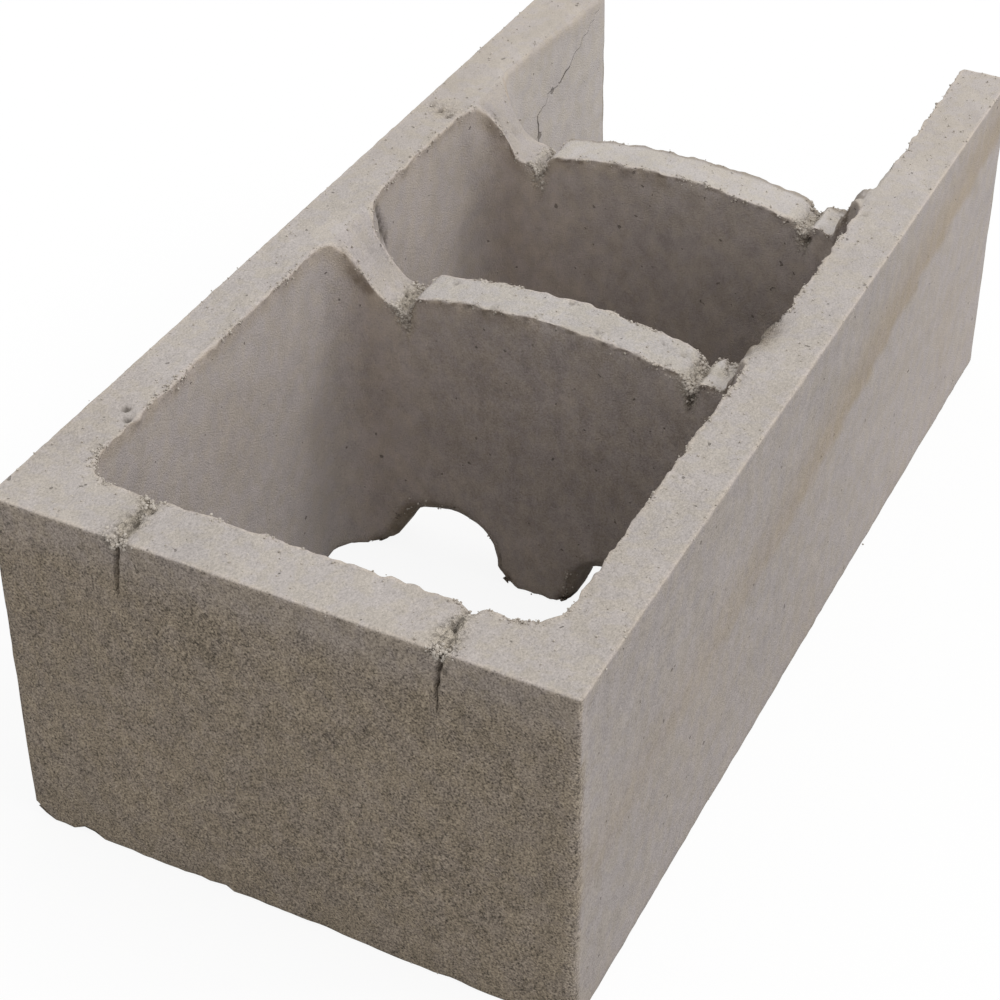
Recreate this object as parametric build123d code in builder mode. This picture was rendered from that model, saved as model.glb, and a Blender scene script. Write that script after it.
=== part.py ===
"""A hollow concrete shuttering block, end type: closed at -X, open at +X, cells open above and below.

Millimetres. X runs along the block, Y across it and Z up. The origin is the middle of the underside.
Wall, web and cell sizes are those at the top face; the cores that form the cells taper downwards.
"""

import os
from math import radians, tan

from build123d import *

os.makedirs("parts", exist_ok=True)

# Overall size
length = 500
width = 250
height = 170

# Walls and webs, at the top face
side_wall = 24
end_wall = 27.5
web = 21

# Cells along the block; the large cell beside the end wall takes what is left
small_cell = 118
open_pocket = 118

# Taper and corner rounding of the cores
core_draft = 0.8
core_corner = 17

# Web tops, below the top face so that bars and wet concrete can run over them
crown_drop = 15
crown_end_drop = 22
shoulder_drop = 28
shoulder_ledge = 1

# Breaking lines, between which the middle panel of the end wall or a web can be knocked out
break_from_wall = 32.5
slit_width = 1.5
end_notch_width = 8
end_notch_depth = 4
end_slit_depth = 28
web_notch_width = 10
web_notch_depth = 6
web_slit_depth = 36

# Twin arches at the foot of each web, through which the wet concrete spreads along the course
centre_foot = 35
wall_foot = 21
arch_inner_height = 36.5
arch_outer_height = 34
arch_inner_lean = 2
arch_outer_lean = 17.5
arch_inner_round = 24
arch_outer_round = 8

# Places worked out from the sizes above
taper = height * tan(radians(core_draft))
core_width = width - 2 * side_wall
closed_end = -length / 2
web_2_start = length / 2 - open_pocket - web
web_1_start = web_2_start - small_cell - web
large_cell = web_1_start - closed_end - end_wall
break_line = core_width / 2 - break_from_wall
past_web = web / 2 + core_corner + taper
past_open_end = 2 * core_corner

# Start and length of each core, the last of which runs out past the open end
core_spans = (
    (closed_end + end_wall, large_cell),
    (web_1_start + web, small_cell),
    (web_2_start + web, open_pocket + past_open_end),
)


def core(start, size):
    """The solid that leaves one cell: full size at the top face, drawn in towards its foot."""
    with BuildPart() as body:
        with BuildSketch(Plane.XY.offset(height)):
            with Locations((start + size / 2, 0)):
                Rectangle(size, core_width)
        extrude(amount=-height)
        sides = faces().filter_by(Axis.Z, reverse=True)
        draft(sides, Plane.XY.offset(height), -core_draft)
        fillet(edges() - faces().filter_by(Axis.Z).edges(), core_corner)
    return body.part


def breaking_line(inner_top, outer_top, notch_width, notch_foot, slit_foot):
    """Draws one side of a breaking line: a V that opens to the top over a narrow slit."""
    return Polyline(
        (break_line - notch_width / 2, inner_top),
        (break_line - slit_width / 2, notch_foot),
        (break_line - slit_width / 2, slit_foot),
        (break_line + slit_width / 2, slit_foot),
        (break_line + slit_width / 2, notch_foot),
        (break_line + notch_width / 2, outer_top),
    )


def web_top(plane):
    """Outline of what is cut from above a web: a crown, breaking lines and shoulders to the walls."""
    ledge = height - shoulder_drop
    with BuildSketch(plane) as outline:
        with BuildLine():
            score = breaking_line(
                height - crown_end_drop,
                ledge,
                web_notch_width,
                ledge - web_notch_depth,
                height - web_slit_depth,
            )
            crown = TangentArc((0, height - crown_drop), score @ 0, tangent=(1, 0))
            foot = (score @ 1).X
            top = core_width / 2 - shoulder_ledge
            midway = (foot + top) / 2
            shoulder = Bezier((foot, ledge), (midway, ledge), (midway, height), (top, height))
            Polyline(shoulder @ 1, (0, height), crown @ 0)
        make_face()
        mirror(about=Plane.YZ)
    return outline.sketch


def twin_arches(plane):
    """Outline of a web's arches: a steep round flank at the centre, a sloping one at the wall."""
    inner_foot = centre_foot / 2
    outer_foot = core_width / 2 - wall_foot
    inner_corner = (inner_foot + arch_inner_lean, arch_inner_height)
    outer_corner = (outer_foot - arch_outer_lean, arch_outer_height)
    room = outer_corner[0] - inner_corner[0] - arch_outer_round
    with BuildSketch(plane) as outline:
        with BuildLine():
            Polyline((inner_foot, 0), inner_corner, outer_corner, (outer_foot, 0), close=True)
        make_face()
        fillet(vertices().sort_by_distance(inner_corner)[0], min(arch_inner_round, room))
        fillet(vertices().sort_by_distance(outer_corner)[0], arch_outer_round)
        mirror(about=Plane.YZ)
    return outline.sketch


with BuildPart() as shuttering_block:
    # The outer block, less the cells
    with BuildSketch():
        Rectangle(length, width)
    extrude(amount=height)
    for start, size in core_spans:
        add(core(start, size), mode=Mode.SUBTRACT)

    # The webs, lowered at the top and arched at the foot
    for start in (web_1_start, web_2_start):
        across_web = Plane.YZ.offset(start + web / 2)
        extrude(web_top(across_web), amount=past_web, both=True, mode=Mode.SUBTRACT)
        extrude(twin_arches(across_web), amount=past_web, both=True, mode=Mode.SUBTRACT)

    # The end wall's breaking lines, cut through from its outer face to the large cell
    with BuildSketch(Plane.YZ.offset(closed_end)):
        with BuildLine():
            score = breaking_line(
                height, height, end_notch_width, height - end_notch_depth, height - end_slit_depth
            )
            Line(score @ 1, score @ 0)
        make_face()
        mirror(about=Plane.YZ)
    extrude(amount=end_wall + taper, mode=Mode.SUBTRACT)

shuttering_block.part.label = "shuttering_block"
export_step(shuttering_block.part, "parts/shuttering_block.step")
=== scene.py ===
"""A hollow concrete shuttering block, worn and crumbled as in the photograph, on a plain pale floor.

Shapes are worked out in millimetres, in the block's own frame, and become metres as their mesh is made.
"""

import bmesh
import bpy
import numpy as np
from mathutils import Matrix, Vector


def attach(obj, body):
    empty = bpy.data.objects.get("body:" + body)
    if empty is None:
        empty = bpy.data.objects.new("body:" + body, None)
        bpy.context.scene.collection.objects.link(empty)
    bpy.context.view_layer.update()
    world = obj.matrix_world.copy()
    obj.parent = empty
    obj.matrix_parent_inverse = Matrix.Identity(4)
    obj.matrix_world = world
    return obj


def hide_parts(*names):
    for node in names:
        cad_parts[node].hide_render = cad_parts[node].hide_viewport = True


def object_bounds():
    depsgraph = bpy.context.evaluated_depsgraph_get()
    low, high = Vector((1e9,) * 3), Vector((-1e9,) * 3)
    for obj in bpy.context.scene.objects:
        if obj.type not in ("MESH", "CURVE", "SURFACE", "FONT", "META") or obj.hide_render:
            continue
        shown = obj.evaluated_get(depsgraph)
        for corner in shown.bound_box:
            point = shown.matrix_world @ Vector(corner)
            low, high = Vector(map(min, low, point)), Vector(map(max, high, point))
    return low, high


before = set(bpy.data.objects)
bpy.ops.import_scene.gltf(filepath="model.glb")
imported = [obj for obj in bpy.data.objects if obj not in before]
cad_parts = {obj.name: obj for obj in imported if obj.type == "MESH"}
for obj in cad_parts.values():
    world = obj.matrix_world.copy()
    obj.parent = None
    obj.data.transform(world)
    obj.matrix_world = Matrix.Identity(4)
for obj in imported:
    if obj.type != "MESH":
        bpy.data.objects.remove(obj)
cad_low, cad_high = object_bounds()


# The block
# One casting of dry, sandy concrete, pressed in a steel mould and drawn off it upwards. Its skin is one
# closed shell of grids: outer faces, cell walls, the tops that the press head flattened, and the underside.

millimetre = 0.001
length, width, height = (np.array(cad_high - cad_low) / millimetre).round(1)
end_x = length / 2
side_y = width / 2

# The sound block's sizes at its top, where the cells are widest
side_wall = 24.0
end_wall = 27.5
web_thickness = 21.0
small_cell = 118.0
open_pocket = 118.0
core_corner = 17.0
core_draft = np.tan(np.radians(0.8))

inner_y = side_y - side_wall
web_2_x = end_x - open_pocket - web_thickness / 2
web_1_x = web_2_x - web_thickness - small_cell
web_places = np.array([web_1_x, web_2_x])
web_reach = web_thickness / 2 + core_corner

large_cell = web_1_x - web_thickness / 2 - (end_wall - end_x)
cell_middles = (end_wall - end_x + large_cell / 2, (web_1_x + web_2_x) / 2, end_x)
cell_halves = (large_cell / 2, small_cell / 2, open_pocket)

# Where the breaking lines lie across the block: on each web, and on the end wall
left_notches = (67.0, 67.5)
right_notches = (-73.0, -71.0)
end_scores = (67.0, -69.0)


def ramp(values, start, end):
    """0 before start, 1 after end, and 3 t^2 - 2 t^3 of the share t of the way between them."""
    share = np.clip((values - start) / (end - start), 0, 1)
    return share * share * (3 - 2 * share)


def fade(values, full, none):
    """1 up to one distance, 0 beyond another, and the same smooth step between them."""
    return ramp(-values, -none, -full)


def bell(values, place, reach):
    """A bell of height 1 at a place: exp(-(distance / reach)^2)."""
    return np.exp(-(((values - place) / reach) ** 2))


def lumps(points, size, seed):
    """Smooth noise from -1 to 1: a random number at each corner of a cubic lattice of that size, blended
    across each cell by 3 t^2 - 2 t^3 along every axis."""
    cell = np.floor(points / size).astype(np.int64)
    share = points / size - cell
    share = share * share * (3 - 2 * share)
    total = np.zeros(len(points))
    for corner in np.ndindex(2, 2, 2):
        key = (cell + corner) @ np.array([73856093, 19349663, 83492791]) + seed * 971
        key = (key ^ (key >> 13)) * 1274126177 % 4294967296
        number = (key ^ (key >> 15)) % 65536 / 32767.5 - 1
        total += number * np.prod(np.where(corner, share, 1 - share), axis=-1)
    return total


crown_drop = 15
crown_radius = 292.0
shoulder_drop = 28.5
lump_drop = 25
lump_rise = 24.5
lump_slope = 14
lump_ends = np.array([85.5, 83.5])


def lump_end(x, web):
    """How far out a web's lump turns up to the -Y wall: further at its far face than at its near one."""
    return lump_ends[web] + 8.5 * ramp(x - web_places[web], -6, 6)


def web_line(x, y, web):
    """Height of a web's top: a crown, top - (R - sqrt(R^2 - y^2)), a crumbled dip at each breaking line, a
    shoulder that sweeps up to the +Y wall, and a low lump that turns up steeply at the -Y wall."""
    crown = height - crown_drop - (crown_radius - np.sqrt(crown_radius**2 - np.clip(y, -90, 90) ** 2))
    sweep = ramp(y, left_notches[web] + 5, inner_y - 0.5) ** 1.2
    shoulder = height - shoulder_drop + shoulder_drop * sweep
    rise = ramp(-y, lump_end(x, web), lump_end(x, web) + lump_slope)
    lump = height - lump_drop + 1.5 * bell(y, right_notches[web] - 6, 5) + lump_rise * rise
    beside = np.where(y > 0, shoulder, lump)
    crown_share = ramp(y, right_notches[web] + 1, right_notches[web] + 8)
    crown_share *= ramp(-y, 1 - left_notches[web], 8 - left_notches[web])
    dips = 4 * bell(y, left_notches[web], 2.8) + 4.5 * bell(y, right_notches[web], 2.6)
    return beside + (crown - beside) * crown_share - dips


def top_height(x, y):
    """Height of the top face anywhere: level on the walls, and a web's own line within its reach."""
    z = np.full(np.shape(y), height)
    for web, place in enumerate(web_places):
        near = (np.abs(x - place) < web_reach) & (np.abs(y) < inner_y - 0.3)
        z = np.where(near, web_line(x, y, web), z)
    return z


def arch_line():
    """The foot of a web from the -Y wall to the +Y wall: flat feet and two arches, whose two upper corners
    are arcs tangent to the sides that meet there. An arc turns by the angle between those sides."""
    centre_foot, inner_lean, inner_height, inner_round = 17.5, 2, 36.5, 24
    wall_foot, outer_lean, outer_height, outer_round = inner_y - 21, 17.5, 34, 8
    inner_corner = (centre_foot + inner_lean, inner_height)
    outer_corner = (wall_foot - outer_lean, outer_height)
    corners = np.array([(centre_foot, 0), inner_corner, outer_corner, (wall_foot, 0)])
    points = [corners[:1]]
    for number, radius in ((1, inner_round), (2, outer_round)):
        corner = corners[number]
        back, on = corners[number - 1] - corner, corners[number + 1] - corner
        back, on = back / np.linalg.norm(back), on / np.linalg.norm(on)
        half = np.arccos(back @ on) / 2
        centre = corner + (back + on) / np.linalg.norm(back + on) * radius / np.sin(half)
        first, last = (corner + side * radius / np.tan(half) - centre for side in (back, on))
        turn = np.linspace(0, 1, 20)[:, None]
        spread = np.pi - 2 * half
        swing = first * np.sin((1 - turn) * spread) + last * np.sin(turn * spread)
        points.append(centre + swing / np.sin(spread))
    right = np.vstack(points + [corners[3:]])
    end = np.array([[side_y, 0]])
    return np.vstack([end * (-1, 1), right[::-1] * (-1, 1), right, end])


arch = arch_line()


def cell_side(cell, out, places, arcs, depth):
    """One side of a cell in plan at a depth below the top, from the middle of one corner to the middle of
    the next, anticlockwise. A point is straight * half + R sin(turn) along the side and
    reach + R cos(turn) outwards, and the draft takes its share of the depth off half and reach."""
    out = np.array(out)
    along = np.array([-out[1], out[0]])
    quarter = np.pi / 4
    turn_on = np.linspace(-quarter, 0, arcs[0], endpoint=False)
    turn_off = np.linspace(quarter, 0, arcs[1], endpoint=False)[::-1]
    turn = np.concatenate([turn_on, np.zeros(len(places)), turn_off])
    straight = np.concatenate([turn_on * 0 + places[0], places, turn_off * 0 + places[-1]])
    halves = np.array([cell_halves[cell], inner_y])
    drawn = core_draft * depth + core_corner
    reach = halves @ np.abs(out) - drawn + core_corner * np.cos(turn)
    half = halves @ np.abs(along) - drawn
    sideways = straight * half + core_corner * np.sin(turn)
    return np.array([cell_middles[cell], 0]) + reach[:, None] * out + sideways[:, None] * along


# Steps of the skin: round half a cell's corner, the same beside the end wall, and along a notched face
half_arc = 12
end_arc = 24
close_columns = 150


def side_edges(cell, out, places, arcs=(half_arc, half_arc)):
    """The top edge and the foot edge of one side of a cell, each at its own height and draft."""
    level = cell_side(cell, out, places, arcs, 0)
    top = top_height(*level.T)
    top_plan = cell_side(cell, out, places, arcs, height - top)
    foot_plan = cell_side(cell, out, places, arcs, height)
    return np.column_stack([top_plan, top]), np.column_stack([foot_plan, foot_plan[:, 0] * 0])


def gathered(start, end, count, places, closeness=1.3, reach=6):
    """Places from start to end, closer together near the given ones: the running total of
    1 + closeness * bell(place), read backwards at even steps."""
    line = np.linspace(start, end, 2001)
    weight = 1 + closeness * sum(bell(line, place, reach) for place in places)
    total = np.concatenate([[0], np.cumsum((weight[1:] + weight[:-1]) / 2)])
    return np.interp(np.linspace(0, total[-1], count + 1), total, line)


def web_edges(cell, out, web):
    """The top edge and the foot edge of a web's face, close at the notches and at even steps along the
    arches below."""
    half = inner_y - core_corner
    places = gathered(-half, half, close_columns, (left_notches[web], right_notches[web])) / half
    foot_half = half - core_draft * height
    walk = np.concatenate([[0], np.cumsum(np.linalg.norm(np.diff(arch, axis=0), axis=1))])
    limits = np.interp([-foot_half, foot_half], arch[:, 0], walk)
    steps = np.linspace(*limits, close_columns + 1)
    feet = np.column_stack([np.interp(steps, walk, arch[:, 0]), np.interp(steps, walk, arch[:, 1])])
    if out[0] < 0:
        places, feet = -places[::-1], feet[::-1]
    top, foot = side_edges(cell, out, places)
    straight = slice(half_arc, half_arc + len(feet))
    foot[straight, 1:] = feet
    foot[straight, 0] += out[0] * core_draft * feet[:, 1]
    return top, foot


# Below the upper band of a wall only every third column goes on down
skip = 3
shell_points = []
shell_faces = []
rim = np.array([0, 0.6, 1.3, 2.1, 3.0, 4.1, 5.4, 6.9, 8.5, 10.2, 11.4]) / side_wall
across = np.concatenate([rim, 1 - rim[::-1]])


def put(points):
    """Adds a grid of points to the shell and gives their numbers in the shape of the grid."""
    start = sum(map(len, shell_points))
    shell_points.append(points.reshape(-1, 3))
    return np.arange(start, start + points[..., 0].size).reshape(points.shape[:-1])


def fill(numbers):
    """Fills a grid of point numbers with four-sided faces."""
    quads = numbers[:-1, :-1], numbers[1:, :-1], numbers[1:, 1:], numbers[:-1, 1:]
    shell_faces.extend(np.stack(quads, axis=-1).reshape(-1, 4).tolist())


def fill_step(close, spaced):
    """Fills between a row of close points and a row with every third of them with six-sided faces."""
    corners = [close[i : len(close) - skip + i : skip] for i in range(skip)]
    corners += [close[skip::skip], spaced[1:], spaced[:-1]]
    shell_faces.extend(np.stack(corners, axis=-1).tolist())


def lines_between(first, last, shares):
    """Straight lines from each point of one edge to the same point of another, at the given shares."""
    shares = np.broadcast_to(shares, (len(first), np.shape(shares)[-1]))[..., None]
    return first[:, None] + (last - first)[:, None] * shares


def wall(edges, close_foot=False):
    """A wall face, from its top edge to its foot edge: every column in the upper band, every third column
    below it and, round the arches of a web, every column again."""
    top, foot = edges
    drop = np.linalg.norm(top - foot, axis=1)[:, None]
    upper_rows = np.array([0, 0.7, 1.6, 2.8, 4.4, 6.6, 9.6, 13.4, 18, 23.4, 30])
    lower_rows = np.array([22, 16, 11, 7.5, 4.8, 2.8, 1.3, 0])
    middle_rows = 20
    shares = np.linspace(0, 1, middle_rows + 2)[1:-1]
    middle = upper_rows[-1] + (drop - lower_rows[0] - upper_rows[-1]) * shares
    rows = np.hstack([upper_rows + 0 * drop, middle, drop - lower_rows]) / drop
    grid = lines_between(top, foot, rows)
    upper = put(grid[:, : len(upper_rows)])
    fill(upper)
    foot_start = -len(lower_rows)
    lower = put(grid[::skip, len(upper_rows) : foot_start if close_foot else None])
    fill_step(upper[:, -1], lower[:, 0])
    fill(lower)
    if close_foot:
        base = put(grid[:, foot_start:])
        fill_step(base[:, 0], lower[:, -1])
        fill(base)


def top_face(outer, inner):
    """A top face between two edges: straight lines in plan, at the height of the top everywhere."""
    grid = lines_between(outer, inner, across)
    grid[:, 1:-1, 2] = top_height(grid[:, 1:-1, 0], grid[:, 1:-1, 1])
    fill(put(grid))


def underside(outer, inner):
    """A piece of the underside: straight lines between two foot edges."""
    fill(put(lines_between(outer, inner, across[::skip])))


def outer_edges(plan):
    """The top edge and the foot edge of an outer face, which stands plumb."""
    flat = np.zeros(len(plan))
    return np.column_stack([plan, flat + height]), np.column_stack([plan, flat])


def even(start, end, half):
    """Shares from start to end of a side, about a millimetre apart, whose steps come in threes."""
    spacing = 1.07
    return np.linspace(start, end, int((end - start) * half / spacing / skip) * skip + 1)


# By cell and side: the pocket stops at its middle, the open end, and the large cell's corners beside the end
# wall are turned in more steps
corner_points = end_arc + 1
pocket_spans = {(2, 1): (0, 1), (2, -1): (-1, 0)}
uneven_arcs = {
    (0, 1): (half_arc, end_arc),
    (0, -1): (end_arc, half_arc),
    (2, 1): (0, half_arc),
    (2, -1): (half_arc, 0),
}


def side_of_wall(cell, sign):
    """A long side wall beside one cell: its top, its inner and outer faces and its underside."""
    half = cell_halves[cell] - core_corner
    places = even(*pocket_spans.get((cell, sign), (-1, 1)), half)
    top, foot = side_edges(cell, (0, sign), places, uneven_arcs.get((cell, sign), (half_arc, half_arc)))
    plan_x = top[:, 0].copy()
    if cell == 0 and sign > 0:
        plan_x[-corner_points:] = np.linspace(plan_x[-corner_points], -end_x, corner_points)
    elif cell == 0:
        plan_x[:corner_points] = np.linspace(-end_x, plan_x[corner_points - 1], corner_points)
    outer_top, outer_foot = outer_edges(np.column_stack([plan_x, plan_x * 0 + sign * side_y]))
    wall((top, foot))
    wall((outer_top, outer_foot))
    top_face(outer_top, top)
    underside(outer_foot[::skip], foot[::skip])
    if cell == 2:
        end = 0 if sign > 0 else -1
        outer_corner = np.array([outer_top[end], outer_foot[end]])
        inner_corner = np.array([top[end], foot[end]])
        wall(lines_between(outer_corner, inner_corner, across))


def end_of_block():
    """The closed end wall, with its two scored lines."""
    half = inner_y - core_corner
    places = gathered(-half, half, close_columns, [-score for score in end_scores]) / half
    top, foot = side_edges(0, (-1, 0), places, (end_arc, end_arc))
    plan_y = top[:, 1].copy()
    plan_y[:corner_points] = np.linspace(side_y, plan_y[corner_points - 1], corner_points)
    plan_y[-corner_points:] = np.linspace(plan_y[-corner_points], -side_y, corner_points)
    outer_top, outer_foot = outer_edges(np.column_stack([plan_y * 0 - end_x, plan_y]))
    wall((top, foot))
    wall((outer_top, outer_foot))
    top_face(outer_top, top)
    underside(outer_foot[::skip], foot[::skip])


def cross_web(web):
    """A web with the stretches of side wall that it runs into: its faces, its top and its arched foot."""
    near_top, near_foot = web_edges(web, (1, 0), web)
    far_top, far_foot = (edge[::-1] for edge in web_edges(web + 1, (-1, 0), web))
    wall((near_top, near_foot), close_foot=True)
    wall((far_top, far_foot), close_foot=True)
    rims = []
    for top, foot in ((near_top, near_foot), (far_top, far_foot)):
        stretches = []
        for end, sign in ((0, -1), (-1, 1)):
            outer = outer_edges(np.array([[top[end, 0], sign * side_y]]))
            top_line = lines_between(outer[0], top[end][None], across)[0]
            foot_line = lines_between(outer[1], foot[end][None], across[::skip])[0]
            stretches.append([top_line, foot_line])
        (first_top, first_foot), (last_top, last_foot) = stretches
        for line in (first_top, last_top):
            line[1:-1, 2] = top_height(line[1:-1, 0], line[1:-1, 1])
        rims.append([
            np.vstack([first_top[:-1], top, last_top[-2::-1]]),
            np.vstack([first_foot[:-1], foot, last_foot[-2::-1]]),
        ])
    (near_rim, near_base), (far_rim, far_base) = rims
    top_face(near_rim, far_rim)
    underside(near_base, far_base)
    for end in (0, -1):
        corners = np.array([near_rim[end], near_base[end]]), np.array([far_rim[end], far_base[end]])
        wall(lines_between(*corners, across))


end_of_block()
for cell in range(3):
    for sign in (1, -1):
        side_of_wall(cell, sign)
for web in range(2):
    cross_web(web)

# The grids are sewn into one closed shell, whose points the wear then moves
shell = bmesh.new()
drawn = bpy.data.meshes.new("concrete_block")
drawn.from_pydata(np.vstack(shell_points), [], shell_faces)
shell.from_mesh(drawn)
bmesh.ops.remove_doubles(shell, verts=shell.verts, dist=0.02)
bmesh.ops.recalc_face_normals(shell, faces=shell.faces)
shell.to_mesh(drawn)
shell.free()
points = np.empty(len(drawn.vertices) * 3)
drawn.vertices.foreach_get("co", points)
points = points.reshape(-1, 3)


def nearest_face(points):
    """How far each point is in plan from the nearest upright face, and the way into the concrete there. A
    cell is a rounded box: the distance outside one is |max(q, 0)| + min(max(q), 0) - R. An outer face wins
    a tie, so that the plumb edges of the open end belong to it all the way down."""
    x, y, z = points.T
    flat = x * 0
    distances = [end_x + x, end_x - x, side_y - y, side_y + y]
    ways = [(flat + a, flat + b) for a, b in ((1, 0), (-1, 0), (0, -1), (0, 1))]
    for middle, half in zip(cell_middles, cell_halves):
        shrink = core_draft * (height - z) + core_corner
        q = np.array([np.abs(x - middle) - half + shrink, np.abs(y) - inner_y + shrink])
        outside = np.maximum(q, 0)
        far = np.hypot(*outside)
        distances.append(far + np.minimum(q.max(axis=0), 0) - core_corner)
        way = np.where(far > 0, outside / np.maximum(far, 1e-9), (q == q.max(axis=0)).astype(float))
        ways.append((way[0] * np.sign(x - middle), way[1] * np.sign(y)))
    distances = np.array(distances)
    tie = 0.02 * (np.arange(len(distances)) < 4)
    face = (distances - tie[:, None]).argmin(axis=0)
    pick = np.arange(len(x))
    way = np.transpose(ways, (0, 2, 1))[face, pick]
    return distances[face, pick], np.column_stack([way, flat]), face


def nearest_top(points):
    """How far each point is below the top, square to its slope, and the way down from there."""
    x, y, z = points.T
    slope = (top_height(x, y + 0.3) - top_height(x, y - 0.3)) / 0.6
    steepness = np.sqrt(1 + slope**2)
    way = np.column_stack([slope * 0, slope / steepness, -1 / steepness])
    return (top_height(x, y) - z) / steepness, way


def nearest_foot(points):
    """How far each point is from the underside, and the way up from there: the height above the floor, or
    under a web the distance from the nearest stretch of the arches' line."""
    x, y, z = points.T
    distance = z.copy()
    way = np.tile([0.0, 0.0, 1.0], (len(z), 1))
    near = (np.abs(x[:, None] - web_places).min(axis=1) < web_reach) & (z < 60)
    spot = points[near, 1:]
    starts, runs = arch[:-1], np.diff(arch, axis=0)
    share = ((spot[:, None] - starts) * runs).sum(axis=2) / (runs**2).sum(axis=1)
    gap = np.linalg.norm(spot[:, None] - starts - np.clip(share, 0, 1)[..., None] * runs, axis=2)
    stretch = gap.argmin(axis=1)
    square = runs[stretch][:, ::-1] * (-1, 1) / np.linalg.norm(runs[stretch], axis=1)[:, None]
    distance[near] = gap.min(axis=1)
    way[near] = np.column_stack([square[:, 0] * 0, square])
    return distance, way


def soften(first, second, radius):
    """Rounds an edge: a point this far from its two faces moves straight towards the middle of the arc, as
    far as the arc. Gives the move away from each face."""
    a, b = np.maximum(radius - first, 0), np.maximum(radius - second, 0)
    scale = 1 - radius / np.maximum(np.hypot(a, b), radius)
    return (a * scale)[:, None], (b * scale)[:, None]


def corner_moves(points, radius):
    """Rounds the plumb edges at the four corners of the block and at the open end of the pocket."""
    x, y, z = points.T
    inset, side_inset = soften(end_x - np.abs(x), side_y - np.abs(y), radius)
    moves = np.column_stack([-np.sign(x) * inset[:, 0], -np.sign(y) * side_inset[:, 0], x * 0])
    pocket = np.abs(y) - inner_y + core_draft * (height - z)
    inset, side_inset = soften(end_x - x, np.where(x > web_2_x + 40, pocket, side_y), radius)
    return moves + np.column_stack([-inset[:, 0], np.sign(y) * side_inset[:, 0], x * 0])


# Where each point of the skin lies. Faces 0 to 3 are the ends and the sides, 4 to 6 are the cells.
end_face, large_cell_face, small_cell_face, pocket_face = 0, 4, 5, 6
aside, way_in, face = nearest_face(points)
below, way_down = nearest_top(points)
above, way_up = nearest_foot(points)
x, y, z = points.T
outside, inside = face < 4, face > 3

web_gap = np.abs(points[:, :1] - web_places)
on_web = (web_gap.min(axis=1) < web_thickness / 2 + 3) & (np.abs(y) < inner_y - 2)
web_of = web_gap.argmin(axis=1)
left_gap = y - np.array(left_notches)[web_of]
right_gap = y - np.array(right_notches)[web_of]
across_web = x - web_places[web_of]
ledge = on_web * ramp(-right_gap, 3, 6)
on_end = x < end_wall - end_x + 2

# Torn to crumbs: the notches and scores, a patch of the +Y wall's top beside the second web, the ledges' far
# halves and a flake that hangs on the -Y wall's rim
right_reach = np.where(right_gap < 0, 3.2, 5)
in_notch = np.maximum(bell(left_gap, 0, 5.5), bell(right_gap, 0, right_reach)) * on_web
outer_half = ramp(-x, end_x - end_wall, end_x - 6)
score_reach = 3.6 + 1.4 * outer_half + 1.5 * lumps(points, 5, 35)
in_score = np.maximum(*(bell(y, place, score_reach) for place in end_scores)) * on_end
in_patch = bell(np.hypot(x - 95, y - 110), 0, 8)
torn_patch = 0.55 * in_patch * fade(below, 1, 4)
behind_ledge = on_web * ramp(-right_gap, 5, 10) * ramp(across_web, -4, 2) * fade(below, 1, 4)
behind_ledge *= np.where(web_of == 0, 0.65, 0.3)
flake = bell(x, -13, 11) * bell(y, -101, 3.5) * fade(below, 1, 5)
torn_notch = in_notch * (0.9 - 0.25 * (web_of == 1)) * fade(below, 4, 9)
clear_gap = bell(x, end_wall - end_x, 4) * bell(y, end_scores[1], 5)
torn_score = 1.3 * in_score * fade(below, 1, 5) * (1 - clear_gap)
crumbled = np.clip(torn_notch + torn_score + torn_patch + behind_ledge + 0.8 * flake, 0, 1)

# The flat top, and the pale burr along its edges and down the plumb corner in view
top_share = fade(below, 0.1, 0.6)
closeness = np.maximum(aside, np.minimum(below, above))
worn = fade(closeness, 0.4, 2.2) * (below < above)
near_side = y < 0.5 - side_y
worn = np.maximum(worn, 0.6 * near_side * ramp(-x, end_x - 8, end_x - 3))

# Edges are rounded, more where they are nibbled, and most at the second web's +Y shoulder, where the top
# runs into the pocket's wall with no edge
nibbled = np.maximum(lumps(points, 4.5, 1), 0) + 1.8 * np.maximum(lumps(points, 15, 2) - 0.25, 0)
seamless = inside * ramp(x, web_2_x + 1, web_2_x + 8) * ramp(y, left_notches[1] + 6, left_notches[1] + 16)
top_radius = 0.35 + 0.12 * nibbled + 0.5 * nibbled * inside + 5 * seamless
foot_radius = 1.2 + 1.2 * nibbled + 2.4 * on_web
corner_radius = 1.6 + 0.8 * lumps(points, 11, 3)

moved = points + corner_moves(points, corner_radius)
away, down = soften(aside, below, top_radius)
moved += way_in * away + way_down * down
away, up = soften(aside, above, foot_radius)
moved += way_in * away + way_up * up

# The way out of the skin, square to the faces near by. Relief in millimetres is gathered along it.
facing = -way_in * np.maximum(top_radius - aside, 0)[:, None]
facing -= way_down * np.maximum(top_radius - below, 0)[:, None]
facing -= way_up * np.maximum(foot_radius - above, 0)[:, None]
facing /= np.maximum(np.linalg.norm(facing, axis=1), 1e-6)[:, None]

on_rim = fade(aside, 1, 4) * fade(np.minimum(below, above), 1, 5)
relief = 0.3 * lumps(points, 23, 4) + 0.16 * lumps(points, 6, 5)
top_relief = 0.3 * lumps(points, 4.0, 6) + 0.22 * lumps(points, 2.2, 7)
relief += top_share * top_relief * (1 - 0.65 * on_web)
rough_rim = on_rim * (0.12 + 0.3 * inside) * (1 - 0.85 * seamless)
relief += rough_rim * (lumps(points, 2.7, 8) + lumps(points, 7, 9))
relief *= 1 - 0.6 * outside * fade(aside, 1, 4) * fade(below, 1, 4)
relief += crumbled * (1.1 * lumps(points, 2.0, 10) + 1.0 * lumps(points, 4.4, 11) - 0.6)


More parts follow.
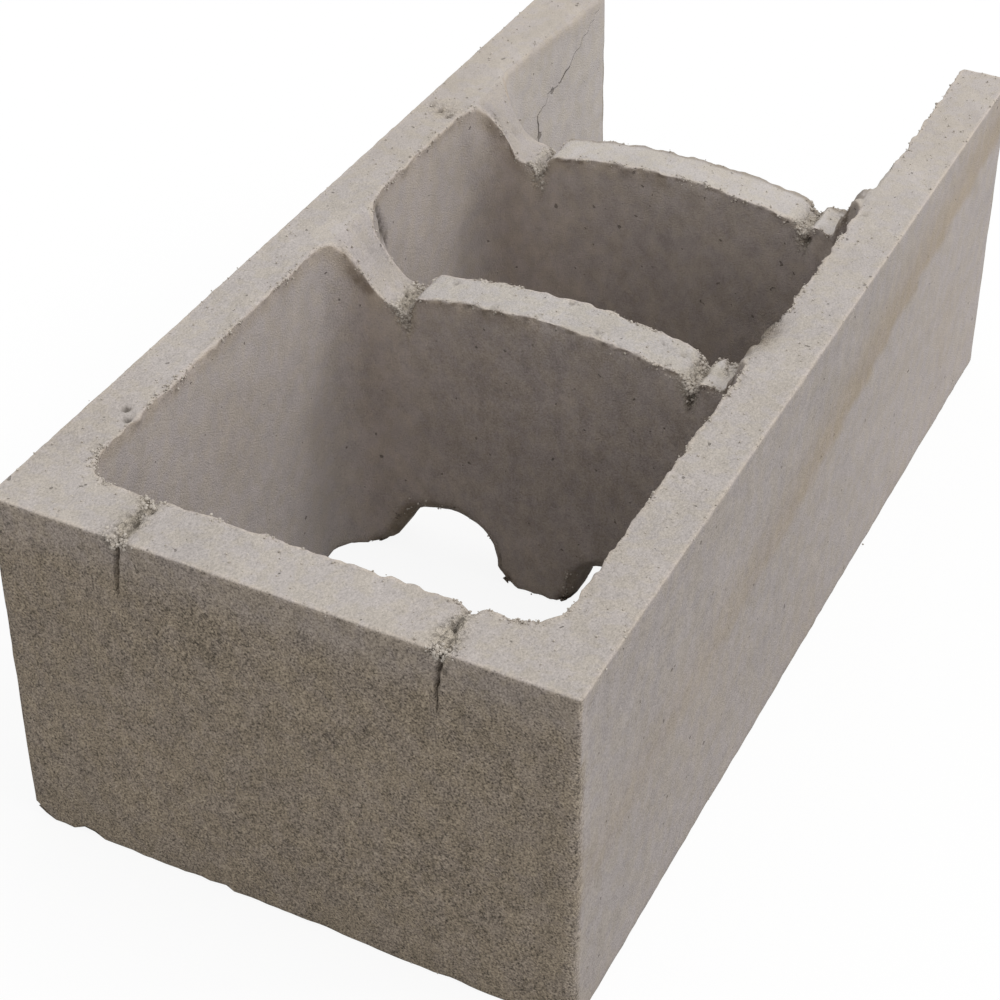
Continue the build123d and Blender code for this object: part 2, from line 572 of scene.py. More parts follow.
def dents(places):
    """Chips and holes: how deep each point lies in one, depth * (1 - (distance / reach)^2), if at all."""
    deepest = np.zeros(len(points))
    for place, reach, depth in places:
        share = 1 - ((points - place) ** 2).sum(axis=1) / reach**2
        deepest = np.maximum(deepest, depth * np.maximum(share, 0))
    return deepest


# Each chip or hole is its place, its reach and its depth
chips = dents((
    ((-end_x, side_y, 0), 7, 3.2),
    ((-end_x, 97, 0), 5, 2.5),
    ((-end_x, 33, 0), 4, 1.5),
    ((web_1_x - 11, 80, 2), 6, 2),
    ((web_1_x - 11, 16, 2), 7, 3),
    ((web_1_x - 11, -17, 2), 6, 3),
))
pits = dents((
    ((-179, 109, height), 3, 2.2),
    ((-185, 104, height), 2.6, 1.8),
    ((-248, 67, 167), 2.6, 2.6),
    ((-236, 66, height), 2.2, 2),
    ((-229, 64, height), 2, 1.8),
    ((-245, -70, 168), 2.6, 2.6),
    ((-236, -68, height), 2.2, 2),
    ((98, 119, height), 2.4, 1.6),
    ((95, 113, height), 2.6, 2),
    ((91, 106, height), 2.4, 1.8),
    ((-16, 71, 140), 2.4, 2.4),
    ((-21, 71, 139), 2.2, 2.4),
    ((-23, 69, 136), 2.2, 2.4),
    ((-12, 49, 151), 2.4, 1.4),
    ((-28, 33, 152), 2.6, 1.4),
    ((-27, 23, 153), 3, 1.4),
    ((-9, -7, 155), 2.4, 1.4),
    ((-23, -26, 154), 2.4, 1.4),
    ((-13, -53, 150), 2.0, 1.4),
    ((-15, -56, 150), 1.6, 1.2),
    ((-14, -63, 148), 2.0, 1.5),
    ((-25, -60, 149), 1.8, 1.3),
    ((-27, -38, 153), 1.8, 1.3),
    ((-24, -72, 138), 3, 3),
    ((121, 85, 150), 2.2, 1.6),
    ((111, -73, 138), 3, 2.6),
    ((95, -104, height), 2, 1.4),
))
relief -= chips + pits
# Painted shade in the deeper pits
hollow = ramp(pits, 0.7, 1.8)

# A lip under the webs where the cores were drawn, and two low places in the first web's arches
lip = 2.4 * on_web * ramp(aside, 0.3, 3) * fade(above, 0.5, 4) * ramp(z, 2, 8)
moved -= way_up * lip[:, None]
low_arch = 3.5 * bell(y, -34, 13) + 2.5 * bell(y, 62, 8)
moved[:, 2] -= low_arch * fade(above, 2, 16) * ramp(z, 6, 26) * on_web * (web_of == 0)

# The worn ledges are lumpier than the rest, and with them the relief is whole
relief += ledge * (1.5 * lumps(points, 8, 16) + 0.9 * lumps(points, 3.5, 17)) * (1 - 0.3 * (web_of == 1))
moved += facing * relief[:, None]

# Slits run down from the scores and from the first web's -Y notch: they wander, taper and have painted shade
# inside
wander = 0.8 * lumps(points * (0, 0, 1), 9, 12) + 0.35 * lumps(points * (0, 0, 1), 3, 13)
off_rim = ramp(aside, -3, -0.5) * fade(aside, 0.5, 3)
for place, deepest, ragged in zip(end_scores, (139, 143), (0.8, 1.8)):
    reach = 0.3 + 0.4 * ramp(z, deepest, height - 4)
    slit = bell(y + ragged * wander - 0.1 * (height - 8 - z), place, reach)
    slit = slit * ramp(z, deepest, deepest + 5) * off_rim
    moved[:, 0] += 6 * slit * (face == end_face)
    moved[:, 0] -= 3 * slit * (face == large_cell_face) * on_end
    hollow = np.maximum(hollow, slit * ((face == end_face) | (face == large_cell_face) & on_end))
slit = bell(right_gap + wander, 0, 1.0) * ramp(z, 130, 133) * off_rim * (below > 0.5) * on_web * (web_of == 0)
moved += way_in * (3.5 * slit)[:, None]
hollow = np.maximum(hollow, slit)

# The small cell's wall is pushed in or out at its +Y corners
for place, reach, push in (((112, 92), 8, 4.2), ((101, 99), 7, -1.5), ((6, 96), 9, -2.0)):
    near = np.exp(-((points[:, :2] - place) ** 2).sum(axis=1) / reach**2) * (face == small_cell_face)
    moved += way_in * (push * near * ramp(z, 128, 156) * ramp(-aside, -8, 0))[:, None]

# The flake bulges and hangs, and a seam with painted shade in it and sunk rims mark where the scores cross
# the end wall's top
flake *= 1 + 0.6 * lumps(points, 3, 43)
moved[:, 1] += 3.2 * flake
moved[:, 2] -= 2.4 * flake
for place, reach, depth in zip(end_scores, (1.5, 0.8), (0.5, 0.95)):
    path = place + 1.6 * lumps(points * (1, 0, 0), 5, 36) + 0.8 * lumps(points * (1, 0, 0), 1.9, 37)
    seam = bell(y, path, reach) * on_end * top_share * ramp(lumps(points, 2.6, 38), -0.7, 0.1)
    moved[:, 2] -= 1.4 * seam
    hollow = np.maximum(hollow, depth * seam)

outer_edge, inner_edge = bell(end_x + x, 0, 5), bell(x + end_x - end_wall, 0, 4)
for place, outer_dip, inner_dip in zip(end_scores, (3.2, 2.6), (1.0, 5.0)):
    dip = outer_dip * outer_edge * bell(y, place, 2.6) + inner_dip * inner_edge * bell(y, place, 3.0)
    moved[:, 2] -= dip * on_end * bell(below, 0, 7)

# The cells' rims are scalloped, and the side walls are uneven in thickness
plan = points * (1, 1, 0)
scallops = 0.5 * np.tanh(2.5 * lumps(plan, 6.5, 14)) + 0.35 * lumps(plan, 2.6, 15)
rim_band = inside * bell(below, 0, 3.5) * ramp(-aside, -4, 0) * (1 - seamless) * (1 + 0.4 * on_web)
moved -= way_in * (scallops * rim_band)[:, None]

share_in = np.clip((side_y - np.abs(y)) / side_wall, 0, 1) * ramp(np.abs(y), 60, 100)
lean = np.where(y > 0, 1.5 - 6.5 * ramp(x, 140, end_x), 0.5) * share_in
moved[:, 1] += lean

# A crack up the pocket's +Y wall: its bends in x and z, and how thin it is at each. crack_gap is 0.5 on it
# and changes evenly across it, so it may lie between two points of the skin.
crack = np.array([(177.8, 114), (177.4, 129), (184, 133), (192, 137), (199, 137.5), (207, 143.5), (236, 160)])
thinness = np.array([1.0, 1.2, 18.0, 22.0, 1.3, 1.0, 20.0])
starts, runs = crack[:-1], np.diff(crack, axis=0)
pocket_wall = (face == pocket_face) & (x > 160) & (y > 90)
from_start = points[pocket_wall][:, None, ::2] - starts
share = np.clip((from_start * runs).sum(axis=2) / (runs**2).sum(axis=1), 0, 1)
from_crack = from_start - share[..., None] * runs
nearest = np.linalg.norm(from_crack, axis=2).argmin(axis=1)
pick = np.arange(len(nearest))
offset = from_crack[pick, nearest]
side_of_crack = np.sign(runs[nearest, 0] * offset[:, 1] - runs[nearest, 1] * offset[:, 0])
thin = thinness[nearest] + share[pick, nearest] * np.diff(thinness)[nearest]
from_line = np.linalg.norm(offset, axis=1)
crack_gap, by_crack = np.full(len(points), 0.0), np.full(len(points), 0.0)
crack_gap[pocket_wall] = 0.5 + side_of_crack * from_line * thin / 20
by_crack[pocket_wall] = fade(from_line, 4, 9)

# A gouge slants down the small cell's +Y wall from near its rim, with painted shade inside
gouge_x = 8.8 + (166 - z) * 0.405
gouge_reach = 0.9 + 1.3 * bell(z, 148, 6)
gouge = (face == small_cell_face) * (y > 80) * bell(x, gouge_x, gouge_reach)
gouge = gouge * ramp(z, 134, 141) * fade(z, 160, 167)
moved += way_in * (2.8 * gouge)[:, None]
hollow = np.maximum(hollow, ramp(gouge, 0.25, 0.5))

# Tones: faces that look along the block are coarser and browner, and rust tints the skin in blotches and in a
# damp band that climbs along the side in view. Under the +Y rims the same brown is painted shade.
across_block = np.abs(way_in[:, 0]) ** 2 * (1 - top_share)
coarse_end = outside * across_block * (1 - 0.45 * ramp(z, height - 24, height - 10))
mottle = 0.5 + 0.3 * lumps(points, 48, 20) + 0.22 * lumps(points, 17, 21) + 0.14 * lumps(points, 8, 22)
rust_and_shade = np.maximum(lumps(points, 60, 23) - 0.2, 0) * 0.8 + np.maximum(lumps(points, 26, 24) - 0.35, 0) * 0.6
over_line = z - 101.5 - 0.155 * x - 3 * lumps(points, 40, 25) - 0.8 * lumps(points, 9, 26)
softness = 1.5 + 12 * ramp(-x, -50, 100)
damp = ramp(over_line / softness, -0.5, 0.5) * fade(over_line, 4, 46)
damp *= near_side * (1 - top_share) * (0.5 + 0.5 * ramp(x, -160, 40))
# Painted shade: a brown band under the +Y rims inside the cells
under_rim_shade = inside * (y > 0) * (1 - top_share) * fade(below, 4, 10)
shoulder = on_web * ramp(left_gap, 3, 9)

# Dark stains and painted shade, by the shoulders and ledges, along the rims and down at the chipped feet and
# the arches
cloudy = 0.75 + 0.5 * lumps(points, 6, 41) + 0.4 * lumps(points, 2.5, 42)
by_shoulders = (
    ((114.5, 95, 162), 6.5, 1.6),
    ((114, 90.5, 158), 6.5, 1.8),
    ((113, 86.5, 152), 4.5, 1.4),
    ((-29, 90.5, 155), 4, 0.9),
    ((-28.5, 87.6, 150.5), 4.5, 1.3),
    ((-28, 84, 146.5), 4.5, 1.3),
)
under_ledges = (((-20, -98, 148), 8, 1.6), ((120, -97, 148), 10, 1.6))
at_feet = (((web_1_x - 11, 80, 2), 7, 1.5), ((web_1_x - 11, 16, 2), 8, 1.5), ((web_1_x - 11, -17, 2), 8, 1.5))
# Painted shade: a brown strip where the lumps turn up to the -Y wall
by_wall = 1.4 * ledge * ramp(-y - lump_end(x, web_of), 1.5, 5) * cloudy
# Painted shade: a ragged dark band just under the cells' rims
under_edge_shade = inside * bell(below, 1.1, 0.9) * ramp(lumps(points, 3.2, 40), 0.0, 0.4) * np.maximum(on_web, 0.4)
under_edge_shade *= (1 - top_share) * (1 - seamless)
# Painted shade along the second web's far top edge
far_edge = 0.7 * on_web * (web_of == 1) * ramp(across_web, 7.5, 9.5) * fade(below, 0.5, 2) * (left_gap < 0)
# Dirt and painted shade at the foot of the first web's outer +Y arch
slope_dirt_and_shade = on_web * (face == large_cell_face) * bell(above, 0, 3.5) * ramp(y, 58, 66) * fade(y, 76, 82)
stain_and_shade = np.maximum.reduce([
    # Stains and painted shade under the shoulders' rims, by the ledges at the -Y wall and at the chipped feet
    dents(by_shoulders) * (1 - top_share) * cloudy,
    dents(under_ledges + at_feet) * cloudy,
    by_wall,
    # Painted shade on the flake, which hangs below the rim
    np.minimum(1.3 * flake, 0.9),
    under_edge_shade,
    far_edge,
    0.9 * slope_dirt_and_shade * cloudy,
])
# Dirt and painted shade at the feet: darker up the webs' arches, and a thin painted shadow along every foot
# edge
foot_dirt_and_shade = fade(above, 0.5, 6) * np.maximum(on_web * ramp(y, 20, 50), 0.3)
foot_dirt_and_shade = np.maximum(foot_dirt_and_shade, 0.7 * fade(above, 0.4, 2))

# Painted light: the pocket's +Y wall is painted paler, and the skin is painted lighter towards the open end,
# on the +Y cell faces, in the large cell and on the ledges' tops
lit_pocket_wall = (face == pocket_face) & (x > web_2_x + 20) & (y > 0)
far_share = ramp(x, -100, 250)
painted_light = (0.5 + 0.35 * near_side) * far_share + 0.8 * inside * ramp(y, 10, 95) * (1 - top_share)
painted_light += (face == large_cell_face) * ramp(x, -45, -20) * (0.5 * fade(z, 35, 75) + 0.3 * ramp(y, 50, 85))
painted_light += ledge * top_share


def lay_mask(mesh, name, values):
    """Keeps one number for each point of a mesh, which its material then reads by name."""
    mesh.attributes.new(name, "FLOAT", "POINT").data.foreach_set("value", np.clip(values, 0, 1))


drawn.vertices.foreach_set("co", (moved * millimetre).ravel())
drawn.shade_smooth()
# Painted light: the webs' tops, most of all on the ledges, and the pocket's +Y wall are painted paler
lit_pale_web = top_share * on_web * (left_gap < 0) * (0.75 + 0.5 * ledge)
masks = {
    "pressed": top_share * (1 - 0.6 * shoulder),
    "pale": np.maximum(lit_pale_web, 0.6 * lit_pocket_wall * (1 - top_share)),
    "worn": worn * (1 - seamless),
    "crumbled": crumbled,
    # Painted shade in pits, slits, seams and the gouge
    "hollow": hollow,
    "across_block": across_block,
    "coarse_end": coarse_end,
    "mottle": mottle,
    # Rust, with painted shade under the +Y rims
    "rust_and_shade": np.maximum.reduce([0.3 * rust_and_shade, 0.3 * under_rim_shade, 0.6 * damp, 0.45 * in_patch]),
    "stain_and_shade": stain_and_shade,
    "foot_dirt_and_shade": foot_dirt_and_shade,
    "crack_gap": crack_gap,
    "by_crack": by_crack,
    "far_share": far_share,
    "painted_light": painted_light,
}
for name, values in masks.items():
    lay_mask(drawn, name, values)


def add(tree, kind, links=None, **settings):
    """Adds a node with its settings. A link gives an input its value or the socket that feeds it."""
    made = tree.nodes.new("ShaderNode" + kind)
    for name, value in settings.items():
        setattr(made, name, value)
    for name, value in (links or {}).items():
        if isinstance(value, bpy.types.NodeSocket):
            tree.links.new(value, made.inputs[name])
        else:
            made.inputs[name].default_value = value
    return made


def sum_of(tree, operation, *values):
    """One step of arithmetic on sockets and numbers."""
    return add(tree, "Math", dict(enumerate(values)), operation=operation).outputs[0]


def product(tree, first, second):
    """first * second, where each may be a socket or a number."""
    return sum_of(tree, "MULTIPLY", first, second)


def scaled(tree, value, factor, offset):
    """value * factor + offset, where each may be a socket or a number."""
    return sum_of(tree, "MULTIPLY_ADD", value, factor, offset)


def blend(tree, share, first, second, way="MIX"):
    """Blends two colours by a share. The node takes them at inputs 6 and 7 and gives its colour at 2."""
    links = {0: share, 6: first, 7: second}
    return add(tree, "Mix", links, data_type="RGBA", blend_type=way, clamp_factor=True).outputs[2]


def between(tree, value, low, high):
    """0 where a value is under low, 1 where it is over high, and a smooth step between."""
    links = {"Value": value, "From Min": low, "From Max": high}
    return add(tree, "MapRange", links, interpolation_type="SMOOTHSTEP").outputs[0]


def effect(name, inputs, outputs):
    """Starts a node group with its inputs, of which Place and Middle are vectors, and its number outputs."""
    tree = bpy.data.node_groups.new(name, "ShaderNodeTree")
    for socket in inputs:
        kind = "NodeSocketVector" if socket in ("Place", "Middle") else "NodeSocketFloat"
        tree.interface.new_socket(socket, in_out="INPUT", socket_type=kind)
    for socket in outputs:
        tree.interface.new_socket(socket, in_out="OUTPUT", socket_type="NodeSocketFloat")
    return tree, tree.nodes.new("NodeGroupInput").outputs, tree.nodes.new("NodeGroupOutput").inputs


def sandy_grain():
    """Packed sand: each grain is a dome, 0.5 - 0.7 * distance to its middle, with its own tone, under finer
    dust, and dark gaps where the dust lies lowest. Tone runs from about -1 to 1, Height from 0 to 1."""
    tree, given, result = effect("sandy grain", ("Place", "Size", "Gaps"), ("Tone", "Height", "Gap"))
    scale = sum_of(tree, "DIVIDE", 1.0, given["Size"])
    grains = add(tree, "TexVoronoi", {"Vector": given["Place"], "Scale": scale, "Randomness": 1.0})
    dust_scale = product(tree, scale, 0.9)
    links = {"Vector": given["Place"], "Scale": dust_scale, "Detail": 1.5, "Roughness": 0.6}
    dust = add(tree, "TexNoise", links)
    shade = add(tree, "SeparateColor", {"Color": grains.outputs["Color"]}).outputs["Red"]
    dust_tone = scaled(tree, dust.outputs[0], 4.0, -2.0)
    grain_tone = scaled(tree, shade, 1.2, -0.6)
    dome = scaled(tree, grains.outputs["Distance"], -0.7, 0.5)
    tree.links.new(sum_of(tree, "ADD", dust_tone, grain_tone), result["Tone"])
    tree.links.new(scaled(tree, dust.outputs[0], 0.8, dome), result["Height"])
    gap_edge = sum_of(tree, "ADD", given["Gaps"], -0.05)
    gap = sum_of(tree, "SUBTRACT", 1.0, between(tree, dust.outputs[0], gap_edge, given["Gaps"]))
    tree.links.new(gap, result["Gap"])
    return tree


def air_pits():
    """Small ragged holes where air or a lost grain was: the lowest spots of a cloudy noise."""
    tree, given, result = effect("air pits", ("Place", "Spacing", "Share"), ("Pit",))
    scale = sum_of(tree, "DIVIDE", 1.0, given["Spacing"])
    noise = add(tree, "TexNoise", {"Vector": given["Place"], "Scale": scale, "Detail": 1.0, "Roughness": 0.4})
    rim_level = sum_of(tree, "ADD", given["Share"], 0.025)
    outside_pit = between(tree, noise.outputs[0], given["Share"], rim_level)
    tree.links.new(sum_of(tree, "SUBTRACT", 1.0, outside_pit), result["Pit"])
    return tree


def single_hole():
    """One hole in a face: 1 within the reach of its middle, with a rim made ragged by the grain's tone."""
    tree, given, result = effect("single hole", ("Place", "Middle", "Reach", "Grain"), ("Pit",))
    far = add(tree, "VectorMath", {0: given["Place"], 1: given["Middle"]}, operation="DISTANCE")
    share = sum_of(tree, "DIVIDE", far.outputs["Value"], given["Reach"])
    ragged = scaled(tree, given["Grain"], 0.25, share)
    tree.links.new(sum_of(tree, "SUBTRACT", 1.0, between(tree, ragged, 0.8, 1.15)), result["Pit"])
    return tree


grain_group = sandy_grain()
pit_group = air_pits()
hole_group = single_hole()


def new_material(name):
    """A new material, its node tree and its surface."""
    material = bpy.data.materials.new(name)
    material.use_nodes = True
    return material, material.node_tree, material.node_tree.nodes["Principled BSDF"]


def pressed_concrete():
    """Sandy grey concrete: mauve-grey along the block, browner and coarser on faces that look along it,
    paler where the press head smoothed the top, with pits, mottling and an old damp line on one side. Painted
    shade darkens its hollows, rims and feet, and painted light brightens the open end, the cells and the
    ledges."""
    material, tree, surface = new_material("pressed_concrete")
    place = add(tree, "TexCoord").outputs["Object"]
    mask = {name: add(tree, "Attribute", attribute_name=name).outputs["Fac"] for name in masks}
    coarse = mask["coarse_end"]

    grain = add(tree, "Group", {"Place": place, "Size": 0.0008, "Gaps": 0.38}, node_tree=grain_group).outputs
    crumbs = add(tree, "Group", {"Place": place, "Size": 0.0017, "Gaps": 0.4}, node_tree=grain_group).outputs
    pit_share = scaled(tree, mask["across_block"], 0.015, 0.2)
    links = {"Place": place, "Spacing": 0.0035, "Share": pit_share}
    pits = add(tree, "Group", links, node_tree=pit_group).outputs["Pit"]
    for middle, reach in (((0.1781, 0.0999, 0.1165), 0.0019), ((0.1917, 0.0992, 0.1366), 0.0017)):
        links = {"Place": place, "Middle": middle, "Reach": reach, "Grain": grain["Tone"]}
        hole = add(tree, "Group", links, node_tree=hole_group).outputs["Pit"]
        pits = sum_of(tree, "MAXIMUM", pits, hole)
    drawn_up = add(tree, "VectorMath", {0: place, 1: (1.0, 1.0, 0.8)}, operation="MULTIPLY").outputs[0]
    cloud = add(tree, "TexNoise", {"Vector": drawn_up, "Scale": 120.0, "Detail": 2.0, "Roughness": 0.65})

    side_grey = (0.385, 0.347, 0.327, 1)
    web_brown = (0.388, 0.341, 0.312, 1)
    end_brown = (0.3, 0.25, 0.195, 1)
    top_beige = (0.452, 0.415, 0.386, 1)
    web_top_lit_pale = (0.5, 0.468, 0.44, 1)
    burr_pink = (0.56, 0.49, 0.43, 1)
    rust_and_shade_brown = (0.33, 0.265, 0.19, 1)
    crumb_beige = (0.48, 0.43, 0.365, 1)
    foot_dirt_and_shade_brown = (0.2, 0.165, 0.12, 1)
    stain_and_shade_brown = (0.14, 0.108, 0.08, 1)
    shadow_brown = (0.075, 0.062, 0.048, 1)
    colour = blend(tree, mask["across_block"], side_grey, web_brown)
    colour = blend(tree, coarse, colour, end_brown)
    colour = blend(tree, mask["pressed"], colour, top_beige)
    # Painted light: paler web tops and pocket wall
    colour = blend(tree, mask["pale"], colour, web_top_lit_pale)
    colour = blend(tree, product(tree, mask["worn"], 0.45), colour, burr_pink)
    # Rust, and painted shade under the +Y rims
    colour = blend(tree, mask["rust_and_shade"], colour, rust_and_shade_brown)
    colour = blend(tree, product(tree, mask["crumbled"], 0.8), colour, crumb_beige)
    # Dark stains and painted shade
    colour = blend(tree, product(tree, mask["stain_and_shade"], 0.7), colour, stain_and_shade_brown)
    # Dirt and painted shade at the feet
    colour = blend(tree, product(tree, mask["foot_dirt_and_shade"], 0.6), colour, foot_dirt_and_shade_brown)

    # Grain, mottling, cloud, crumbs and painted light make one tone, which brightens or darkens the colour
    contrast = scaled(tree, coarse, 0.36, 0.14)
    contrast = scaled(tree, mask["across_block"], 0.03, contrast)
    contrast = product(tree, contrast, scaled(tree, mask["far_share"], -0.5, 1.0))
    contrast = product(tree, contrast, scaled(tree, mask["painted_light"], -0.4, 1.0))
    tone = product(tree, grain["Tone"], contrast)
    tone = scaled(tree, mask["mottle"], 0.16, tone)
    cloud_share = scaled(tree, mask["pressed"], -0.2, 0.35)
    cloud_share = scaled(tree, mask["across_block"], 0.3, cloud_share)
    cloud_share = scaled(tree, coarse, 0.15, cloud_share)
    cloud_tone = sum_of(tree, "ADD", cloud.outputs[0], -0.5)
    tone = scaled(tree, cloud_tone, cloud_share, tone)
    # Painted light raises the tone towards the open end, in the cells and on the ledges
    tone = scaled(tree, mask["painted_light"], 0.24, tone)
    crumb_tone = product(tree, crumbs["Tone"], mask["crumbled"])
    tone = scaled(tree, crumb_tone, 0.15, tone)
    bright = sum_of(tree, "ADD", tone, 0.9)
    shades = add(tree, "CombineColor", {0: bright, 1: bright, 2: bright}).outputs[0]
    colour = blend(tree, 1.0, colour, shades, "MULTIPLY")
    cloud_green = add(tree, "SeparateColor", {"Color": cloud.outputs["Color"]}).outputs["Green"]
    tint_share = between(tree, cloud_green, 0.4, 0.6)
    tint = blend(tree, tint_share, (1.0, 0.985, 0.945, 1), (0.99, 0.985, 1.0, 1))
    colour = blend(tree, 1.0, colour, tint, "MULTIPLY")

    # Shadow lies between the grains and crumbs, in pits and hollows, and along the crack
    gaps = product(tree, grain["Gap"], scaled(tree, coarse, 0.6, 0.12))
    from_crack = sum_of(tree, "ABSOLUTE", sum_of(tree, "ADD", mask["crack_gap"], -0.5))
    ragged = scaled(tree, grain["Tone"], 0.012, 0.035)
    off_crack = between(tree, from_crack, product(tree, ragged, 0.5), ragged)
    cracked = product(tree, sum_of(tree, "SUBTRACT", 1.0, off_crack), mask["by_crack"])
    dark = sum_of(tree, "MAXIMUM", product(tree, pits, 0.75), gaps)
    dark = sum_of(tree, "MAXIMUM", dark, mask["hollow"])
    dark = sum_of(tree, "MAXIMUM", dark, cracked)
    crumb_gap = sum_of(tree, "SUBTRACT", 1.0, between(tree, crumbs["Height"], 0.42, 0.52))
    crumb_gap = product(tree, product(tree, crumb_gap, mask["crumbled"]), 0.75)
    dark = sum_of(tree, "MAXIMUM", dark, crumb_gap)
    colour = blend(tree, product(tree, dark, 0.75), colour, shadow_brown)
    tree.links.new(colour, surface.inputs["Base Color"])

    # Fine relief, in metres
    rise = scaled(tree, coarse, 0.0003, 0.00025)
    rise = scaled(tree, mask["crumbled"], 0.0007, rise)
    grain_height = product(tree, grain["Height"], rise)
    sunk = sum_of(tree, "MAXIMUM", pits, cracked)
    lowered = scaled(tree, sunk, -0.0006, grain_height)
    bump = add(tree, "Bump", {"Strength": 1.0, "Distance": 1.0, "Height": lowered})
    tree.links.new(bump.outputs[0], surface.inputs["Normal"])
    tree.links.new(scaled(tree, tone, -0.15, 0.9), surface.inputs["Roughness"])
    surface.inputs["Specular IOR Level"].default_value = 0.3
    return material


def put_in_scene(name, data):
    """Makes an object of its data and adds it to the scene."""
    made = bpy.data.objects.new(name, data)
    bpy.context.scene.collection.objects.link(made)
    return made


drawn.materials.append(pressed_concrete())
block = put_in_scene("concrete_block", drawn)
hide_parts("shuttering_block")
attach(block, "root")


# Loose grains and crumbs
# Sand and fine gravel that the knife tore out along the scored lines and that the cores dragged over the
# rims as the mould was drawn. They are small broken stones, still stuck to the skin by the cement.

stone = bmesh.new()
bmesh.ops.create_icosphere(stone, subdivisions=1, radius=1)
stone_corners = np.array([corner.co for corner in stone.verts])
stone_faces = np.array([[corner.index for corner in side.verts] for side in stone.faces])
stone.free()


def loose_sand():
    """Dry sand stones, each with its own tone from grey-brown to pale beige, dusty all over."""
    material, tree, surface = new_material("loose_sand")
    place = add(tree, "TexCoord").outputs["Object"]
    dust = add(tree, "Group", {"Place": place, "Size": 0.0006, "Gaps": 0.3}, node_tree=grain_group).outputs
    own_tone = add(tree, "Attribute", attribute_name="own_tone").outputs["Fac"]
    tone = scaled(tree, dust["Tone"], 0.12, own_tone)
    colour = blend(tree, tone, (0.34, 0.3, 0.255, 1), (0.59, 0.54, 0.48, 1))
    tree.links.new(colour, surface.inputs["Base Color"])
    height_here = product(tree, dust["Height"], 0.00015)
    bump = add(tree, "Bump", {"Strength": 1.0, "Distance": 1.0, "Height": height_here})
    tree.links.new(bump.outputs[0], surface.inputs["Normal"])
    tree.links.new(scaled(tree, tone, -0.1, 0.9), surface.inputs["Roughness"])
    surface.inputs["Specular IOR Level"].default_value = 0.3
    return material


sand = loose_sand()


def scatter(name, chance, count, smallest, largest, seed):
    """Stones at points of the skin drawn by chance, small ones more often than large ones. A corner of a
    stone is its middle + turn * (corner of an icosahedron * radius * a random stretch)."""
    draw = np.random.default_rng(seed)
    spots = draw.choice(len(moved), count, p=chance / chance.sum())
    radii = smallest + (largest - smallest) * draw.random(count) ** 2
    middles = moved[spots] + draw.normal(0, 0.4, (count, 3)) - facing[spots] * radii[:, None] * 0.3
    middles[:, 2] = np.maximum(middles[:, 2], radii)
    turns = np.linalg.qr(draw.normal(size=(count, 3, 3)))[0]
    turns *= np.linalg.det(turns)[:, None, None]
    stretch = radii[:, None] * (0.75 + 0.5 * draw.random((count, len(stone_corners))))
    corners = np.einsum("nij,nkj->nki", turns, stone_corners * stretch[..., None]) + middles[:, None]
    faces = stone_faces + len(stone_corners) * np.arange(count)[:, None, None]
    mesh = bpy.data.meshes.new(name)
    mesh.from_pydata(corners.reshape(-1, 3) * millimetre, [], faces.reshape(-1, 3).tolist())
    mesh.shade_smooth()
    lay_mask(mesh, "own_tone", np.repeat(draw.beta(3, 2, count), len(stone_corners)))
    mesh.materials.append(sand)
    piece = put_in_scene(name, mesh)
    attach(piece, "root")


top_rim = on_rim * (below < above)
foot_rim = on_rim * (above < below)
patchy = ramp(lumps(points, 9, 30) + 0.5 * lumps(points, 4, 31), -0.3, 0.9)
rim_chance = (top_rim * (0.01 + inside) + foot_rim * (0.15 * outside + 0.8 * on_web)) * patchy
rim_chance *= (1 - seamless) * (1 - 0.7 * (face == pocket_face))
scatter("rim_grains", rim_chance, count=2600, smallest=0.25, largest=0.7, seed=41)
torn_chance = crumbled**2 * fade(closeness, 1, 9) * (1 - 0.6 * on_end)
scatter("torn_crumbs", torn_chance, count=1800, smallest=0.35, largest=1.1, seed=42)
fallen_chance = top_share * (0.4 + mottle) + 0.02 * coarse_end
scatter("scattered_grains", fallen_chance, count=1600, smallest=0.25, largest=0.6, seed=43)


# The floor, the light and the camera
# A level white floor that fades into a white surround, one broad soft lamp high on the -Y side, and the
# surround's own even light. The camera stands where the photograph's perspective puts it.

floor_mesh = bpy.data.meshes.new("floor")
floor_mesh.from_pydata([(-6, -6, 0), (6, -6, 0), (6, 6, 0), (-6, 6, 0)], [], [(0, 1, 2, 3)])
floor = put_in_scene("floor", floor_mesh)


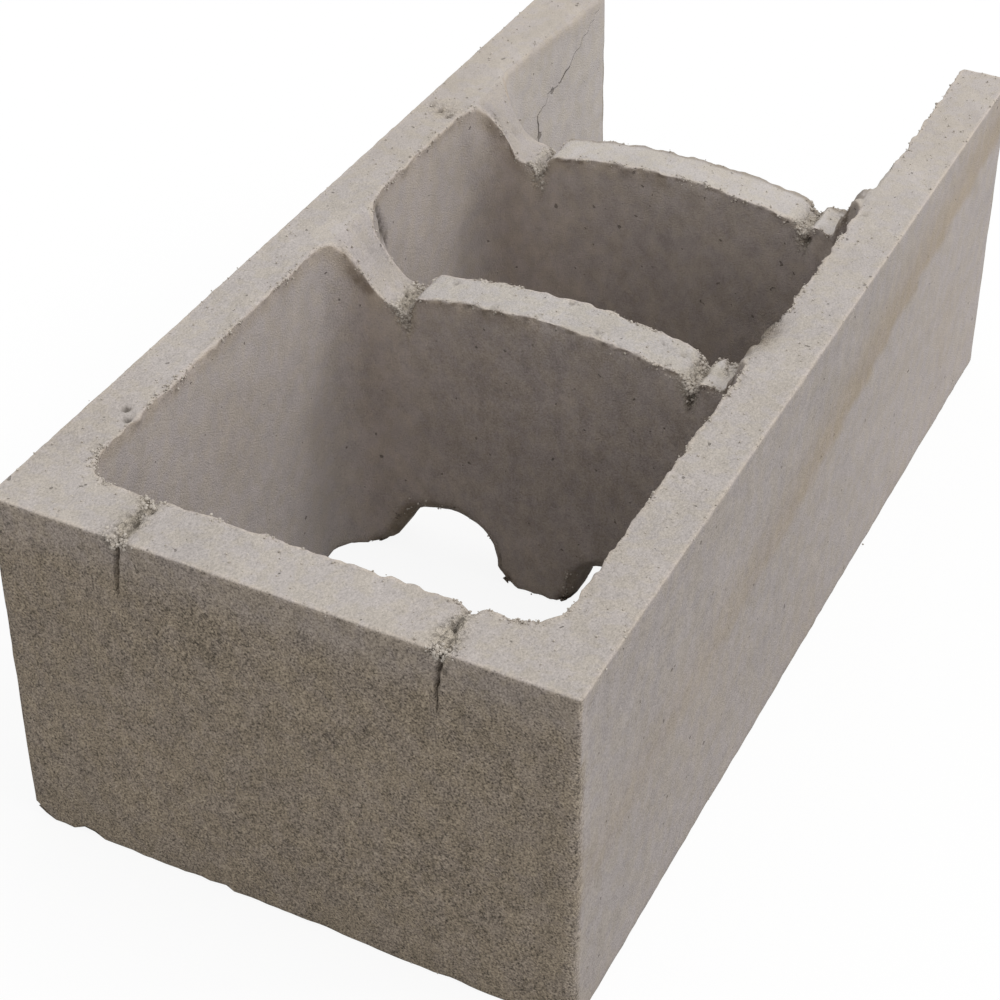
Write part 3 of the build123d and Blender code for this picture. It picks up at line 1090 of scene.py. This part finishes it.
def seen_rays(tree):
    """1 for a ray that shows the surround itself: from the camera, a reflection or glass."""
    rays = add(tree, "LightPath").outputs
    mirrored = sum_of(tree, "MAXIMUM", rays["Is Glossy Ray"], rays["Is Transmission Ray"])
    return sum_of(tree, "MAXIMUM", rays["Is Camera Ray"], mirrored)


floor_finish, tree, painted = new_material("white_floor")
seen_share = add(tree, "LightPath").outputs["Is Camera Ray"]
paint = blend(tree, seen_share, (0.45, 0.45, 0.45, 1), (0.95, 0.95, 0.95, 1))
tree.links.new(paint, painted.inputs["Base Color"])
painted.inputs["Roughness"].default_value = 0.9
painted.inputs["Specular IOR Level"].default_value = 0.0
glow = add(tree, "Emission", {"Color": (1, 1, 1, 1), "Strength": 1.0})
share = product(tree, seen_rays(tree), 0.9)
floor_mix = add(tree, "MixShader", {0: share, 1: painted.outputs[0], 2: glow.outputs[0]})
tree.links.new(floor_mix.outputs[0], tree.nodes["Material Output"].inputs["Surface"])
floor_mesh.materials.append(floor_finish)

world = bpy.data.worlds.new("white_surround")
bpy.context.scene.world = world
world.use_nodes = True
tree = world.node_tree
lit = tree.nodes["Background"]
lit.inputs["Color"].default_value = (1, 1, 1, 1)
lit.inputs["Strength"].default_value = 0.7
shown = add(tree, "Background", {"Color": (1, 1, 1, 1), "Strength": 1.0})
world_mix = add(tree, "MixShader", {0: seen_rays(tree), 1: lit.outputs[0], 2: shown.outputs[0]})
tree.links.new(world_mix.outputs[0], tree.nodes["World Output"].inputs["Surface"])

lamp = put_in_scene("soft_lamp", bpy.data.lights.new("soft_lamp", "SUN"))
lamp.rotation_euler = (np.radians(37), 0, np.radians(18))
lamp.data.energy = 1.5
lamp.data.angle = 0.7

photo_width = 1000
focal_pixels = 2362.2
camera = put_in_scene("camera", bpy.data.cameras.new("camera"))
bpy.context.scene.camera = camera
camera.location = (-0.7928, -0.3681, 0.7280)
camera.rotation_euler = (np.radians(90 - 34.51), 0, np.radians(-63.18))
camera.data.sensor_width = 36
camera.data.lens = focal_pixels * camera.data.sensor_width / photo_width
camera.data.shift_y = -0.16
bpy.context.scene.view_settings.view_transform = "Standard"
